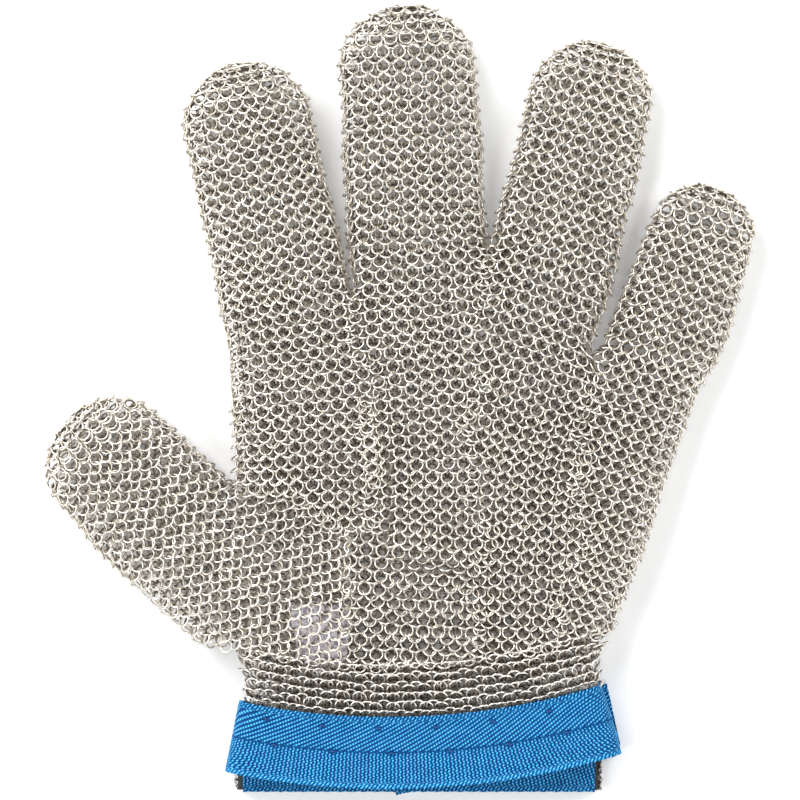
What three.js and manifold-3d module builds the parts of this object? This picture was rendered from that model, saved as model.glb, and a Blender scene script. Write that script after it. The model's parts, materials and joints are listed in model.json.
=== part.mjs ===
// A five-finger cut-resistant glove of welded steel ring mail with a blue webbing wrist strap.
// It lies flat with its palm side up: +X towards the little finger, +Y towards the fingertips, +Z up.
// Each mail panel is a closed solid of the panel's outer shape, hollow where the hand goes.
import * as THREE from "three";
import { mergeVertices } from "three/addons/utils/BufferGeometryUtils.js";
import Module from "manifold-3d";

const wasm = await Module();
wasm.setup();

// ---- Driving dimensions, in millimetres and degrees ----

const MAIL = 2; // thickness of a sheet of 4 mm rings
const GAP = 0.3; // clearance between neighbouring solids
const REACH_OUT = 200; // larger than the glove, for cutting blocks

const FINGER_HEIGHT = 13;
const PALM_HEIGHT = 16;
const SEAM_HEIGHT = 8; // where the palm panel meets the back panel
const PIVOT_SHARE = 0.6; // height of a finger's pivots, as a share of its tube's height
const MIDDLE_BEND = 0.36; // the pivots' places along a finger, as shares of its reach
const TIP_BEND = 0.68;
const THUMB_BEND = 0.5;

// knuckle: where the first pivot crosses the digit's axis; lean: anticlockwise from +Y; reach: pivot to tip.
const FINGERS = [
  { name: "index", knuckle: [-38, 43], lean: 12, reach: 62, width: 40.5, tipWidth: 39.5, root: 34 },
  { name: "middle", knuckle: [4.9, 56], lean: 3.5, reach: 65.9, width: 42.6, tipWidth: 42, root: 50 },
  { name: "ring", knuckle: [49.5, 54], lean: -13.5, reach: 57.5, width: 39, tipWidth: 37.5, root: 50 },
  { name: "little", knuckle: [82.3, 20], lean: -19, reach: 48, width: 35.5, tipWidth: 32.5, root: 30 },
];
const THUMB = {
  name: "thumb", knuckle: [-68.6, -39.4], lean: 45.5, reach: 48, width: 42.5, tipWidth: 41, root: 45,
};

// The most that each pivot bends, towards the palm.
const BEND = { knuckle: 80, middle: 90, tip: 60, thumbBase: 60, thumbTip: 75 };
const ROOT_ROUNDING = 0.7; // depth of a digit's rounded root, as a share of its half width
const SPARE_BEND = 1; // each side of a pivot is cut back this much further

// The hand between the wrist and the roots of the fingers: its edges at several places along Y.
const HAND_SECTIONS = [
  { y: -101, left: -47.6, right: 61.5, low: 6.1, high: 15 },
  { y: -91, left: -47.5, right: 60.2, low: 6.1, high: 15 },
  { y: -81, left: -49.2, right: 61.5, low: 1, high: 15.6 },
  { y: -74, left: -50.5, right: 64, low: 0, high: PALM_HEIGHT },
  { y: -48, left: -50.5, right: 74.5, low: 0, high: PALM_HEIGHT },
  { y: -22, left: -51.7, right: 83, low: 0, high: PALM_HEIGHT },
  { y: 0, left: -52, right: 87.6, low: 0, high: PALM_HEIGHT },
  { y: 12, left: -51, right: 80, low: 0.6, high: 15 },
  { y: 22, left: -44, right: 58, low: 1.5, high: FINGER_HEIGHT },
  { y: 34, left: -36, right: 50, low: 2, high: FINGER_HEIGHT - 0.5 },
];
const HAND_SQUARENESS = 2.8; // 2 is an ellipse
const FLAT_FROM = 0.95; // the section is cut flat at this share of its half height
const CUFF_LINE = -84; // the cuff's mail starts here
const THUMB_SEAM = 14; // from the thumb's pivot back to where its base panel meets the hand

// Webbing strap. Its front band is part of a wide ring, seen from above.
const WEBBING = 1.1;
const STRAP = { centre: [-3.8, 127.8], top: 225, bottom: 247, left: -11.6, right: 16.8 };
const STRAP_STEPS = 12; // straight steps in the front band's curve
const FRONT_BAND_TOP = 16.4;
const FRONT_FOOT = 2; // height at which the band's right side ends, above the flap's fold
const FRONT_TURN_IN = 4; // how far the band's left end runs on under the cuff, on the back band
const BACK_BAND = { left: -48.6, right: 60, low: -121, high: -99, floor: 3.2 };
const TAPE = 0.6;
const LOOP_TAPE = { left: -50.2, right: 60.9, low: -120.4, high: -100.4, floor: 2.3 };
const FLAP = { corner: [68.3, -106.8], tilt: 12.5, length: 71, width: 22 };
const HOOK_TAPE = { margin: 1.5, length: 52, floor: 1.4, overhang: 0.6 };
const STITCH = { width: 0.7, height: 0.4, rows: { upper: 228.6, middle: 236.2 } };
const TAG = { floor: 12.2, thick: 0.4 };
TAG.outline = [[-34.8, -63], [-14.8, -68], [-16.5, -79], [-21, -84], [-25, -84], [-31, -79]];

const STEEL = new THREE.MeshStandardMaterial({ color: 0xb9b6ad, roughness: 0.35, metalness: 1 });
const BLUE = new THREE.MeshStandardMaterial({ color: 0x2b7fc0, roughness: 0.8, metalness: 0 });
const BLACK = new THREE.MeshStandardMaterial({ color: 0x15161a, roughness: 0.95, metalness: 0 });
const THREAD = new THREE.MeshStandardMaterial({ color: 0x14539c, roughness: 0.7, metalness: 0 });
const FILM = new THREE.MeshStandardMaterial({ color: 0xdcd9e2, roughness: 0.3, metalness: 0 });

// ---- Solids and booleans ----

function toSolid(geometry) {
  const bare = geometry.clone();
  bare.deleteAttribute("normal");
  bare.deleteAttribute("uv");
  const merged = mergeVertices(bare, 1e-3);
  return new wasm.Manifold(
    new wasm.Mesh({
      numProp: 3,
      vertProperties: new Float32Array(merged.attributes.position.array),
      triVerts: new Uint32Array(merged.index.array),
    }),
  );
}

function toGeometry(solid) {
  const mesh = solid.getMesh();
  const geometry = new THREE.BufferGeometry();
  geometry.setAttribute("position", new THREE.BufferAttribute(mesh.vertProperties, mesh.numProp));
  geometry.setIndex(new THREE.BufferAttribute(mesh.triVerts, 1));
  geometry.computeVertexNormals();
  return geometry;
}

// A closed solid through a row of rings, each a list of as many points, capped at both ends.
function skin(rings) {
  const count = rings[0].length;
  const points = rings.flat();
  const faces = [];
  for (let k = 0; k + 1 < rings.length; k++) {
    for (let i = 0; i < count; i++) {
      const a = k * count + i;
      const b = k * count + ((i + 1) % count);
      faces.push(a, b, b + count, a, b + count, a + count);
    }
  }
  const cap = (start, flip) => {
    for (let i = 1; i + 1 < count; i++) {
      faces.push(start, ...(flip ? [start + i + 1, start + i] : [start + i, start + i + 1]));
    }
  };
  cap(0, true);
  cap((rings.length - 1) * count, false);
  return new THREE.BufferGeometry().setFromPoints(points).setIndex(faces);
}

// ---- Digits ----

// A round-ended tube along its own +Y, flattened to the digit's height, with its underside at z 0.
function digitSolid(digit, inset) {
  const half = digit.width / 2 - inset;
  const tipHalf = digit.tipWidth / 2 - inset;
  const dome = 0.92 * tipHalf;
  const shoulder = digit.reach - inset - dome;
  const heel = ROOT_ROUNDING * half;
  const profile = new THREE.Path();
  profile.absellipse(0, heel - digit.root, half, heel, -Math.PI / 2, 0);
  profile.lineTo(tipHalf, shoulder);
  profile.absellipse(0, shoulder, tipHalf, dome, 0, Math.PI / 2);
  const tube = new THREE.LatheGeometry(profile.getPoints(3), 28);
  tube.scale(1, 1, (FINGER_HEIGHT / 2 - inset) / half);
  tube.translate(0, 0, FINGER_HEIGHT / 2);
  return toSolid(tube);
}

// The block that holds one stretch of a digit, up to a height. Above a pivot its end slopes back, which
// makes room for the bend.
function stretchBlock(from, to, bendFrom, bendTo, height) {
  const pivot = PIVOT_SHARE * FINGER_HEIGHT;
  const back = (bend) => Math.tan(THREE.MathUtils.degToRad(bend / 2 + SPARE_BEND)) * (height - pivot);
  const start = from + GAP / 2;
  const end = to - GAP / 2;
  const side = new THREE.Shape([
    new THREE.Vector2(start, -1),
    new THREE.Vector2(end, -1),
    new THREE.Vector2(end, pivot),
    new THREE.Vector2(end - back(bendTo), height),
    new THREE.Vector2(start + back(bendFrom), height),
    new THREE.Vector2(start, pivot),
  ]);
  const block = new THREE.ExtrudeGeometry(side, { depth: REACH_OUT, bevelEnabled: false });
  block.translate(0, 0, -REACH_OUT / 2);
  // The shape's x is the digit's +Y and its y is +Z, so the extrusion runs along the digit's +X.
  block.applyMatrix4(new THREE.Matrix4().set(0, 0, 1, 0, 1, 0, 0, 0, 0, 1, 0, 0, 0, 0, 0, 1));
  return toSolid(block);
}

// [name, start, end, bend at its start, bend at its end] for each stretch past the knuckle.
function stretches(digit) {
  const { name, reach } = digit;
  const past = reach + 20;
  if (digit === THUMB) {
    return [
      [`${name}_base_mail`, 0, THUMB_BEND * reach, BEND.thumbBase, BEND.thumbTip],
      [`${name}_tip_mail`, THUMB_BEND * reach, past, BEND.thumbTip, 0],
    ];
  }
  return [
    [`${name}_base_mail`, 0, MIDDLE_BEND * reach, BEND.knuckle, BEND.middle],
    [`${name}_middle_mail`, MIDDLE_BEND * reach, TIP_BEND * reach, BEND.middle, BEND.tip],
    [`${name}_tip_mail`, TIP_BEND * reach, past, BEND.tip, 0],
  ];
}

function place(solid, digit) {
  return solid.rotate([0, 0, digit.lean]).translate([...digit.knuckle, 0]);
}

// ---- Hand ----

// Its section is a squarish oval with a flat top and bottom.
function handSolid(inset, wristExtra) {
  const round = (value) => Math.sign(value) * Math.abs(value) ** (2 / HAND_SQUARENESS);
  const flat = (value) => THREE.MathUtils.clamp(round(value) / FLAT_FROM, -1, 1);
  const rings = HAND_SECTIONS.map(({ y, left, right, low, high }, k) => {
    const at = k === 0 ? y - wristExtra : y - (k === HAND_SECTIONS.length - 1 ? inset : 0);
    return Array.from({ length: 32 }, (_, i) => {
      const turn = (i / 32) * 2 * Math.PI;
      return new THREE.Vector3(
        (left + right) / 2 + ((right - left) / 2 - inset) * round(Math.cos(turn)),
        at,
        (low + high) / 2 + ((high - low) / 2 - inset) * flat(Math.sin(turn)),
      );
    });
  });
  return toSolid(skin(rings.reverse()));
}

function block(x0, x1, y0, y1, z0, z1) {
  const box = new THREE.BoxGeometry(x1 - x0, y1 - y0, z1 - z0);
  box.translate((x0 + x1) / 2, (y0 + y1) / 2, (z0 + z1) / 2);
  return toSolid(box);
}

function handShell() {
  const digits = [...FINGERS, THUMB];
  const rootBlock = (digit) => {
    const bend = digit === THUMB ? BEND.thumbBase : BEND.knuckle;
    return stretchBlock(-REACH_OUT / 2, 0, -2 * SPARE_BEND, bend, PALM_HEIGHT + 1);
  };
  let outer = handSolid(0, 0);
  let inner = handSolid(MAIL, 20);
  for (const digit of digits) {
    outer = outer.add(place(digitSolid(digit, 0).intersect(rootBlock(digit)), digit));
    inner = inner.add(place(digitSolid(digit, MAIL), digit));
  }
  // The hand's own solid reaches past some knuckles' sides, so each digit's space is cleared.
  for (const digit of digits) {
    const beyond = block(-digit.width / 2, digit.width / 2, -GAP / 2, digit.reach, -1, PALM_HEIGHT + 1);
    outer = outer.subtract(place(beyond.subtract(rootBlock(digit)), digit));
  }
  return outer.subtract(inner);
}

// ---- Strap ----

// A point on the ring of webbing: along it from the ring's lowest place, at a radius, at a height.
function onStrap(along, radius, height) {
  const turn = (2 * along) / (STRAP.top + STRAP.bottom);
  return new THREE.Vector3(
    STRAP.centre[0] + radius * Math.sin(turn),
    STRAP.centre[1] - radius * Math.cos(turn),
    height,
  );
}

// The middle of the front band's webbing, as [along, height]: up round the left side, across, down the right side.
function frontBandLine() {
  const middleRadius = (STRAP.top + STRAP.bottom) / 2;
  const leftEnd = THREE.MathUtils.degToRad(STRAP.left) * middleRadius;
  const rightEnd = THREE.MathUtils.degToRad(STRAP.right) * middleRadius;
  const top = FRONT_BAND_TOP - WEBBING / 2;
  const low = BACK_BAND.floor + 1.5 * WEBBING + GAP;
  const bend = (top - low) / 2;
  const line = new THREE.Path();
  line.moveTo(leftEnd + bend + FRONT_TURN_IN, low);
  line.absarc(leftEnd + bend, top - bend, bend, -Math.PI / 2, -1.5 * Math.PI, true);
  for (let k = 1; k < STRAP_STEPS; k++) {
    line.lineTo(THREE.MathUtils.lerp(leftEnd + bend, rightEnd - bend, k / STRAP_STEPS), top);
  }
  line.absarc(rightEnd - bend, top - bend, bend, Math.PI / 2, 0, true);
  line.lineTo(rightEnd, FRONT_FOOT);
  return line.getPoints(4);
}

// Webbing of some thickness whose middle follows a line of [along, height].
function bandAlong(line, thick, top, bottom) {
  const rings = line.map((point, k) => {
    const before = line[Math.max(k - 1, 0)];
    const after = line[Math.min(k + 1, line.length - 1)];
    const across = new THREE.Vector2(before.y - after.y, after.x - before.x).setLength(thick / 2);
    const outside = point.clone().add(across);
    const inside = point.clone().sub(across);
    return [
      onStrap(outside.x, top, outside.y),
      onStrap(inside.x, top, inside.y),
      onStrap(inside.x, bottom, inside.y),
      onStrap(outside.x, bottom, outside.y),
    ];
  });
  return skin(rings.reverse());
}

function stitchRow(radius) {
  const height = FRONT_BAND_TOP + GAP + STITCH.height / 2;
  const middle = frontBandLine().filter((point) => point.y > FRONT_BAND_TOP - WEBBING);
  const line = middle.map((point) => new THREE.Vector2(point.x, height));
  return bandAlong(line, STITCH.height, radius - STITCH.width / 2, radius + STITCH.width / 2);
}

function plate({ left, right, low, high, floor }, thick) {
  const sheet = new THREE.BoxGeometry(right - left, high - low, thick);
  sheet.translate((left + right) / 2, (low + high) / 2, floor + thick / 2);
  return sheet;
}

function tagSheet() {
  const outline = new THREE.Shape(TAG.outline.map(([x, y]) => new THREE.Vector2(x, y)));
  const sheet = new THREE.ExtrudeGeometry(outline, { depth: TAG.thick, bevelEnabled: false });
  sheet.translate(0, 0, TAG.floor);
  return sheet;
}

// ---- Assembly ----

function piece(name, geometry, material) {
  const mesh = new THREE.Mesh(geometry, material);
  mesh.name = name;
  return mesh;
}

function digitGroup(digit) {
  const group = new THREE.Group();
  const shell = digitSolid(digit, 0).subtract(digitSolid(digit, MAIL));
  for (const [name, from, to, bendFrom, bendTo] of stretches(digit)) {
    const part = shell.intersect(stretchBlock(from, to, bendFrom, bendTo, FINGER_HEIGHT + 1));
    group.add(piece(name, toGeometry(part), STEEL));
  }
  group.position.set(...digit.knuckle, 0);
  group.rotation.z = THREE.MathUtils.degToRad(digit.lean);
  return group;
}

function handPieces() {
  const shell = handShell();
  const far = REACH_OUT;
  const above = (z) => block(-far, far, -far, far, z + GAP / 2, far);
  const below = (z) => block(-far, far, -far, far, -far, z - GAP / 2);
  const thumbSide = (gap) => {
    const half = THUMB.width / 2 + gap;
    return place(block(-half, half, -THUMB_SEAM - gap, far, -far, far), THUMB);
  };
  const hand = shell
    .subtract(thumbSide(GAP))
    .intersect(block(-far, far, CUFF_LINE + GAP / 2, far, -far, far));
  const web = shell.intersect(thumbSide(0));
  const cuff = shell.intersect(block(-far, far, -far, CUFF_LINE - GAP / 2, -far, far));
  return [
    piece("palm_mail", toGeometry(hand.intersect(above(SEAM_HEIGHT))), STEEL),
    piece("back_mail", toGeometry(hand.intersect(below(SEAM_HEIGHT))), STEEL),
    piece("thumb_web_mail", toGeometry(web), STEEL),
    piece("cuff_palm_mail", toGeometry(cuff.intersect(above(SEAM_HEIGHT + 2.5))), STEEL),
    piece("cuff_back_mail", toGeometry(cuff.intersect(below(SEAM_HEIGHT + 2.5))), STEEL),
  ];
}

// The closure flap lies under the strap. Its fold is at its own x 0, and it runs along its own -X.
function closureFlap() {
  const group = new THREE.Group();
  const webbing = new THREE.BoxGeometry(FLAP.length, FLAP.width, WEBBING);
  webbing.translate(-FLAP.length / 2 - GAP, FLAP.width / 2, WEBBING / 2);
  const width = FLAP.width - 2 * HOOK_TAPE.margin;
  const hooks = new THREE.BoxGeometry(HOOK_TAPE.length, width, TAPE);
  const end = FLAP.length + GAP + HOOK_TAPE.overhang;
  hooks.translate(HOOK_TAPE.length / 2 - end, FLAP.width / 2, HOOK_TAPE.floor + TAPE / 2);
  group.add(piece("closure_flap", webbing, BLUE));
  group.add(piece("hook_tape", hooks, BLACK));
  group.position.set(...FLAP.corner, 0);
  group.rotation.z = THREE.MathUtils.degToRad(FLAP.tilt);
  return group;
}

function strapPieces() {
  return [
    piece("strap_front_band", bandAlong(frontBandLine(), WEBBING, STRAP.top, STRAP.bottom), BLUE),
    piece("strap_back_band", plate(BACK_BAND, WEBBING), BLUE),
    piece("loop_tape", plate(LOOP_TAPE, TAPE), BLACK),
    piece("stitch_row_upper", stitchRow(STITCH.rows.upper), THREAD),
    piece("stitch_row_middle", stitchRow(STITCH.rows.middle), THREAD),
  ];
}

const glove = new THREE.Group();
for (const digit of [...FINGERS, THUMB]) {
  glove.add(digitGroup(digit));
}
glove.add(...handPieces());
glove.add(...strapPieces(), closureFlap());
glove.add(piece("size_tag", tagSheet(), FILM));

export default glove;
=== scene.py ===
# Looks of a ring-mail glove with a blue webbing wrist strap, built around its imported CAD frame.
# Lengths are in millimetres until a mesh is made, in the frame's own axes: +X from the thumb side to the
# little finger, +Y from the wrist to the fingertips, +Z up out of the palm.
import functools
import json
import math
from collections import namedtuple

import bpy
import numpy as np
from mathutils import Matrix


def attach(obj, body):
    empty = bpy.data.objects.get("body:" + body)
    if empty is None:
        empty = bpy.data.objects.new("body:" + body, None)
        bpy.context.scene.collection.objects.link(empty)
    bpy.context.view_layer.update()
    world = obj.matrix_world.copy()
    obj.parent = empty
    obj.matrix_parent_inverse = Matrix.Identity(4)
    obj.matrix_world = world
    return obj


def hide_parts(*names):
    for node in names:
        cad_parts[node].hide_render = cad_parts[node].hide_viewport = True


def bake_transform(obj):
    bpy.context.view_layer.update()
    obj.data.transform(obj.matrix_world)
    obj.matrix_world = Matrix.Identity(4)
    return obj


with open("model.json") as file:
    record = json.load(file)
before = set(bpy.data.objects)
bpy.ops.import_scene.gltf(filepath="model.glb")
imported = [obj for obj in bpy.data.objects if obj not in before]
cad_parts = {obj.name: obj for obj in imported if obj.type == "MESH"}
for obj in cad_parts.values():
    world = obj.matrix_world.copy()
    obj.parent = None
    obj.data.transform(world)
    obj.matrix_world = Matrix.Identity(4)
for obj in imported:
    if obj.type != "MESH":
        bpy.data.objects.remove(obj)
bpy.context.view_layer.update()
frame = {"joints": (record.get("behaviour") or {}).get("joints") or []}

MM = 0.001
JOINTS = {joint["name"]: joint for joint in frame["joints"]}
rng = np.random.default_rng(7)

# ---- Camera, floor and light ----

VIEW_WIDTH = 246.15  # what the camera sees across, at the height of the view's plane
VIEW_CENTRE = (-0.15, -0.15)
VIEW_PLANE = 8.0
CAMERA_HEIGHT = 1600.0
FLOOR_HALF = 3.0  # in metres, as the backdrop's and the lights' places are
BACKDROP = [(1.1, 0.001), (2.7, 0.001), (2.7, 0.8)]  # radius and height: a border, then a wall
BACKDROP_STEPS = 48


def make_camera():
    data = bpy.data.cameras.new("camera")
    data.angle = 2 * math.atan(VIEW_WIDTH / 2 / (CAMERA_HEIGHT - VIEW_PLANE))
    data.clip_start = 0.01
    data.clip_end = 20
    camera = bpy.data.objects.new("camera", data)
    camera.location = (VIEW_CENTRE[0] * MM, VIEW_CENTRE[1] * MM, CAMERA_HEIGHT * MM)
    bpy.context.scene.collection.objects.link(camera)
    bpy.context.scene.camera = camera


def stage_piece(name, points, faces, inputs):
    """A piece of the set, whose material is plain: inputs are its shader's."""
    mesh = bpy.data.meshes.new(name)
    mesh.from_pydata(points, [], faces)
    material = bpy.data.materials.new(name)
    material.use_nodes = True
    shader = material.node_tree.nodes["Principled BSDF"]
    for key, value in inputs.items():
        shader.inputs[key].default_value = value
    mesh.materials.append(material)
    piece = bpy.data.objects.new(name, mesh)
    bpy.context.scene.collection.objects.link(piece)


def make_floor():
    points = [(x * FLOOR_HALF, y * FLOOR_HALF, 0) for x, y in ((-1, -1), (1, -1), (1, 1), (-1, 1))]
    stage_piece("floor", points, [(0, 1, 2, 3)], {"Base Color": (0.78, 0.78, 0.78, 1), "Roughness": 0.9})


def make_backdrop():
    """A white border to the floor that turns up into a low wall, for the level views to look at."""
    turns = [2 * math.pi * step / BACKDROP_STEPS for step in range(BACKDROP_STEPS)]
    points = [(size * math.cos(turn), size * math.sin(turn), z) for size, z in BACKDROP for turn in turns]
    faces = []
    for ring in range(len(BACKDROP) - 1):
        low, high = ring * BACKDROP_STEPS, (ring + 1) * BACKDROP_STEPS
        for step in range(BACKDROP_STEPS):
            after = (step + 1) % BACKDROP_STEPS
            faces.append((low + step, high + step, high + after, low + after))
    glow = {"Base Color": (0.8, 0.8, 0.8, 1), "Emission Color": (1, 1, 1, 1), "Emission Strength": 1.0}
    stage_piece("backdrop", points, faces, glow)


def area_light(name, place, size, power):
    """A square soft light at a place, aimed at the middle of the glove."""
    data = bpy.data.lights.new(name, "AREA")
    data.shape = "SQUARE"
    data.size = size
    data.energy = power
    light = bpy.data.objects.new(name, data)
    light.location = place
    x, y, z = place
    light.rotation_euler = (math.atan2(math.hypot(x, y), z), 0, math.atan2(x, -y))
    bpy.context.scene.collection.objects.link(light)


def make_light():
    world = bpy.data.worlds.new("studio")
    bpy.context.scene.world = world
    world.use_nodes = True
    background = world.node_tree.nodes["Background"]
    background.inputs["Color"].default_value = (0.97, 0.985, 1.0, 1)
    background.inputs["Strength"].default_value = 0.1
    area_light("top", (0.05, -0.1, 1.75), 0.7, 6)
    area_light("key", (-0.75, 0.85, 0.95), 0.9, 25)
    area_light("right", (0.95, 0.65, 0.8), 0.8, 12)
    area_light("low", (0.60, -1.0, 0.8), 0.8, 9)
    area_light("left", (-1.0, -0.5, 0.8), 0.8, 12)
    bpy.context.scene.view_settings.view_transform = "Standard"


# ---- Meshes ----


def new_mesh_object(name, points, quads):
    """A mesh object from points in millimetres and an array of quads."""
    mesh = bpy.data.meshes.new(name)
    quads = np.asarray(quads, np.int32)
    mesh.vertices.add(len(points))
    mesh.vertices.foreach_set("co", (np.asarray(points) * MM).astype(np.float32).ravel())
    mesh.loops.add(quads.size)
    mesh.loops.foreach_set("vertex_index", quads.ravel())
    mesh.polygons.add(len(quads))
    mesh.polygons.foreach_set("loop_start", np.arange(0, quads.size, 4, dtype=np.int32))
    mesh.polygons.foreach_set("use_smooth", np.ones(len(quads), bool))
    mesh.update(calc_edges=True)
    mesh.validate()
    piece = bpy.data.objects.new(name, mesh)
    bpy.context.scene.collection.objects.link(piece)
    return piece


def repeated(quads, count, points):
    """The quads of many copies of one shape, which has this many points."""
    return (quads[None] + (np.arange(count) * points)[:, None, None]).reshape(-1, 4)


def set_point_values(piece, name, values):
    attribute = piece.data.attributes.new(name, "FLOAT", "POINT")
    attribute.data.foreach_set("value", np.asarray(values, np.float32))


def grid(first, second):
    return np.meshgrid(first, second, indexing="ij")


def smooth(value):
    """0 below 0, 1 above 1, and a smooth rise between them."""
    t = np.clip(value, 0, 1)
    return t * t * (3 - 2 * t)


# ---- Ring mail: the rings' own shape ----

RING_RADIUS = 1.97  # to the middle of the wire
WIRE_RADIUS = 0.31
RING_STEPS = 16
WIRE_SIDES = 5
WELD_SWELL = 0.22  # how much thicker the wire is at its weld, as a share
WELD_SPREAD = 0.28  # how far round the ring the weld goes, in radians
OUT_OF_PLACE = 0.1  # how far a ring strays from its place, in turn, in lean and in size
OUT_OF_TURN = 0.05
OUT_OF_LEAN = 0.12
OUT_OF_SIZE = 0.012
FLOOR_CLEAR = 0.06  # the lowest that any wire lies
CUFF_MARK = -999.0  # an along value below this marks a cuff's ring
POLISH_AND_SHADE_DEPTH = 0.95  # how far into the mail the wire goes from dark to bright, each way from its middle: partly worn dullness, partly painted shade
TILTS = (math.radians(-37), math.radians(-3))  # of alternate rows, out of their sheet
PALM_TILTS = (math.radians(-43), math.radians(-10))  # the palm's rows lie over each other like scales
ROW_SHIFT = 0.25  # how far the steeper rows lie up from the middle between their neighbours
ROW_LIFT = 0.15  # and how far they stand out of the sheet
PITCH = 4.55  # between neighbours in a row
ROW = 1.98  # between rows
SIDE_INSET = 0.8  # from a tube's outer edge in to the middle of its sheet of rings


class Rings(namedtuple("Rings", "centre across up out tilt along")):
    """Rings of mail: each one's centre, the directions along its row, up its column and out of the sheet,
    its lean out of the sheet, and its distance along its digit."""

    def kept(self, mask):
        return Rings(*(values[mask] for values in self))

    @staticmethod
    def joined(parts):
        return Rings(*(np.concatenate(values) for values in zip(*parts)))


def unit(vectors):
    return vectors / np.maximum(np.linalg.norm(vectors, axis=-1, keepdims=True), 1e-9)


def directions(right, left, above, below):
    """Along a row, up its columns and out of its sheet, from points on each side of the row's own."""
    across = unit(right - left)
    up = above - below
    up = unit(up - across * np.sum(up * across, -1, keepdims=True))
    return across, up, np.cross(across, up)


def turned(first, second, angle):
    """Two directions at right angles, both turned by an angle in their own plane."""
    cos, sin = np.cos(angle)[:, None], np.sin(angle)[:, None]
    return first * cos + second * sin, second * cos - first * sin


def ring_mesh(name, rings):
    """One mesh of many closed wire rings, each slightly out of true, with its weld."""
    count = len(rings.centre)
    centre = rings.centre + rng.normal(0, OUT_OF_PLACE, (count, 3))
    across, up = turned(rings.across, rings.up, rng.normal(0, OUT_OF_TURN, count))
    across, out = turned(across, rings.out, rng.normal(0, OUT_OF_TURN, count))
    lean = rings.tilt + rng.normal(0, OUT_OF_LEAN, count)
    up, out = turned(up, out, lean)
    round_ring = np.linspace(0, 2 * math.pi, RING_STEPS, endpoint=False)
    round_wire = np.linspace(0, 2 * math.pi, WIRE_SIDES, endpoint=False)
    weld = rng.uniform(0, 2 * math.pi, count)[:, None]
    off_weld = np.angle(np.exp(1j * (round_ring[None] - weld)))
    wire = WIRE_RADIUS * (1 + WELD_SWELL * np.exp(-((off_weld / WELD_SPREAD) ** 2)))
    cos, sin = np.cos(round_ring)[:, None], np.sin(round_ring)[:, None]
    radial = across[:, None] * cos + up[:, None] * sin
    stretched = np.where(rings.along < CUFF_MARK, CUFF_SWELL, 1.0)
    ring_size = (RING_RADIUS * stretched * rng.normal(1, OUT_OF_SIZE, count))[:, None, None, None]
    swing = wire[:, :, None, None] * np.cos(round_wire)[:, None]
    lift = wire[:, :, None, None] * np.sin(round_wire)[:, None]
    offset = radial[:, :, None] * (ring_size + swing) + out[:, None, None] * lift
    lowest = centre[:, 2] + offset[..., 2].min(axis=(1, 2))
    centre[:, 2] += np.maximum(0, FLOOR_CLEAR - lowest)
    points = (centre[:, None, None] + offset).reshape(-1, 3)
    height = np.sum(offset * rings.out[:, None, None], -1).ravel()
    i, j = grid(np.arange(RING_STEPS), np.arange(WIRE_SIDES))
    i2, j2 = (i + 1) % RING_STEPS, (j + 1) % WIRE_SIDES
    one = np.stack([i * WIRE_SIDES + j, i2 * WIRE_SIDES + j, i2 * WIRE_SIDES + j2, i * WIRE_SIDES + j2], -1)
    piece = new_mesh_object(name, points, repeated(one.reshape(-1, 4), count, RING_STEPS * WIRE_SIDES))
    add_ring_cells(piece, count)
    # Painted shade, partly real dullness: each wire is darker on its side towards the inside of the mail and
    # brighter on its outer side.
    set_point_values(piece, "polish_and_shade", smooth((height + POLISH_AND_SHADE_DEPTH) / (2 * POLISH_AND_SHADE_DEPTH)))
    piece.data.materials.append(steel())
    return piece


def add_ring_cells(piece, count):
    """A UV layer that gives each ring a cell of its own in a square grid of cells."""
    cells = math.ceil(math.sqrt(count))
    cell = np.stack([np.arange(count) % cells, np.arange(count) // cells], -1)
    step, side = grid(np.arange(RING_STEPS), np.arange(WIRE_SIDES))
    corners = [(0, 0), (1, 0), (1, 1), (0, 1)]
    inside = np.stack(
        [np.stack([(step + a) / RING_STEPS, (side + b) / WIRE_SIDES], -1) for a, b in corners], -2
    ).reshape(1, -1, 2)
    uv = (cell[:, None] + 0.2 + 0.6 * inside) / cells
    layer = piece.data.uv_layers.new(name="OFBake")
    layer.data.foreach_set("uv", uv.astype(np.float32).ravel())


# ---- Materials ----


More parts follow.
